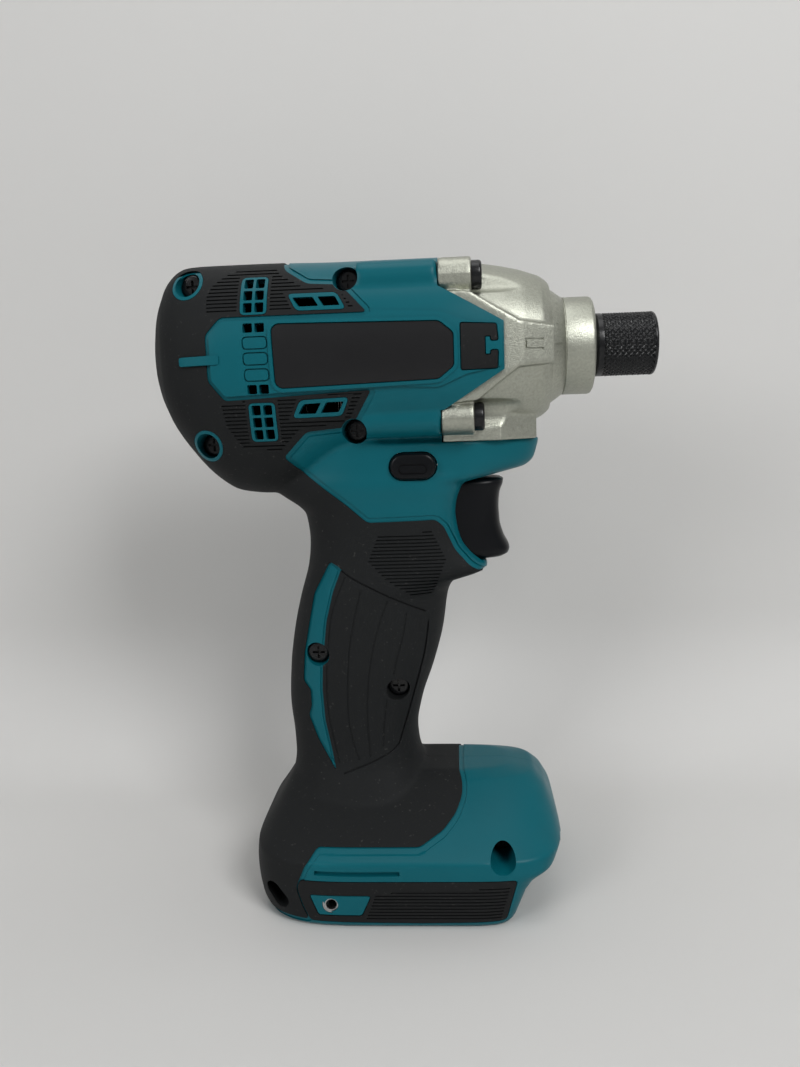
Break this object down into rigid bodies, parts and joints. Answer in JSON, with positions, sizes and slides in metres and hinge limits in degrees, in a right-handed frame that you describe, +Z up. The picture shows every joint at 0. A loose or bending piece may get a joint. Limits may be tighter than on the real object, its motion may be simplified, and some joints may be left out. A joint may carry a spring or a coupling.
{
  "type": "impact driver",
  "caption": "Cordless pistol-grip impact driver, bare tool: hex bit holder with locking sleeve, geared hammer mechanism, trigger, reversing lever and slide-on battery foot.",
  "frame": {"origin": "under the middle of the tool, on the plane of the foot's underside", "axes": "+X along the head towards the bit, +Z up along the handle, right side of the tool at -Y"},
  "size_m": [0.155, 0.079, 0.198],
  "materials": {
    "housing_plastic": "satin",
    "grip_rubber": "matte",
    "inlay_rubber": "matte",
    "plate_plastic": "satin",
    "black_steel": "satin",
    "cast_case": "sand-blasted",
    "bright_steel": "ground",
    "magnet_ceramic": "matte",
    "brush_carbon": "matte",
    "copper_wire": "lacquered",
    "bronze": "machined",
    "black_plastic": "satin",
    "lamp_body": "gloss",
    "lamp_glass": "clear",
    "lead_insulation": "satin"
  },
  "bodies": {
    "tool_body": {"housing_right": "housing_plastic", "housing_left": "housing_plastic", "grip_right": "grip_rubber", "grip_left": "grip_rubber", "foot_pads": "inlay_rubber", "side_pads": "inlay_rubber", "side_plates": "plate_plastic", "housing_screws": "black_steel", "hammer_case": "cast_case", "hammer_case_screws": "black_steel", "anvil_bush": "bronze", "anvil_washer": "bright_steel", "motor_can": "black_steel", "magnets": "magnet_ceramic", "brush_plate": "black_plastic", "carbon_brushes": "brush_carbon", "rear_bearing": "bright_steel", "front_bearing": "bright_steel", "gear_box": "black_steel", "ring_gear": "bright_steel", "spindle_bearing": "bright_steel", "switch_body": "black_plastic", "trigger_spring": "bright_steel", "work_lamp": "lamp_body", "lamp_lens": "lamp_glass", "terminal_block": "black_plastic", "terminal_blades": "bronze", "hook_nuts": "bronze", "battery_leads": "lead_insulation"},
    "rotor": {"armature_shaft": "bright_steel", "armature_core": "bright_steel", "armature_windings": "copper_wire", "commutator": "copper_wire", "cooling_fan": "black_plastic"},
    "spindle": {"spindle": "bright_steel", "planet_pins": "bright_steel", "cam_balls": "bright_steel", "hammer_spring": "bright_steel"},
    "planet_upper": {"planet_gear_upper": "bright_steel"},
    "planet_lower": {"planet_gear_lower": "bright_steel"},
    "hammer": {"hammer": "black_steel"},
    "anvil": {"anvil": "bright_steel", "sleeve_ring": "bright_steel", "sleeve_spring": "bright_steel"},
    "detent_right": {"detent_ball_right": "bright_steel"},
    "detent_left": {"detent_ball_left": "bright_steel"},
    "sleeve": {"bit_sleeve": "black_steel"},
    "trigger": {"trigger": "black_plastic"},
    "lever": {"reversing_lever": "black_plastic"}
  },
  "joints": [
    {"name": "spindle_spin", "type": "hinge", "parent": "tool_body", "child": "spindle", "pos_m": [0, 0, 0.17], "axis": [1, 0, 0], "continuous": true},
    {"name": "rotor_spin", "type": "hinge", "parent": "tool_body", "child": "rotor", "pos_m": [0, 0, 0.17], "axis": [1, 0, 0], "continuous": true},
    {"name": "planet_upper_spin", "type": "hinge", "parent": "spindle", "child": "planet_upper", "pos_m": [0, 0, 0.18125], "axis": [1, 0, 0], "continuous": true},
    {"name": "planet_lower_spin", "type": "hinge", "parent": "spindle", "child": "planet_lower", "pos_m": [0, 0, 0.15875], "axis": [1, 0, 0], "continuous": true},
    {"name": "hammer_retract", "type": "slide", "parent": "spindle", "child": "hammer", "axis": [-1, 0, 0], "range_m": [0, 0.008], "stiffness_N_per_m": 6000, "springref_m": -0.003, "deforming": ["hammer_spring"]},
    {"name": "anvil_spin", "type": "hinge", "parent": "tool_body", "child": "anvil", "pos_m": [0, 0, 0.17], "axis": [1, 0, 0], "continuous": true},
    {"name": "sleeve_slide", "type": "slide", "parent": "anvil", "child": "sleeve", "axis": [1, 0, 0], "range_m": [0, 0.004], "stiffness_N_per_m": 1500, "springref_m": -0.003, "deforming": ["sleeve_spring"]},
    {"name": "detent_right_lift", "type": "slide", "parent": "anvil", "child": "detent_right", "axis": [0, -1, 0], "range_m": [0, 0.0014]},
    {"name": "detent_left_lift", "type": "slide", "parent": "anvil", "child": "detent_left", "axis": [0, 1, 0], "range_m": [0, 0.0014]},
    {"name": "trigger_pull", "type": "slide", "parent": "tool_body", "child": "trigger", "axis": [-1, 0, 0], "range_m": [0, 0.007], "stiffness_N_per_m": 900, "springref_m": -0.004, "deforming": ["trigger_spring"]},
    {"name": "lever_shift", "type": "slide", "parent": "tool_body", "child": "lever", "axis": [0, 1, 0], "range_m": [-0.003, 0.003]}
  ],
  "couplings": [
    {"joint": "rotor_spin", "follows": "spindle_spin", "ratio": 5},
    {"joint": "planet_upper_spin", "follows": "spindle_spin", "ratio": -2.6667},
    {"joint": "planet_lower_spin", "follows": "spindle_spin", "ratio": -2.6667},
    {"joint": "anvil_spin", "follows": "spindle_spin", "ratio": 1},
    {"joint": "detent_right_lift", "follows": "sleeve_slide", "ratio": 0.33},
    {"joint": "detent_left_lift", "follows": "sleeve_slide", "ratio": 0.33}
  ]
}
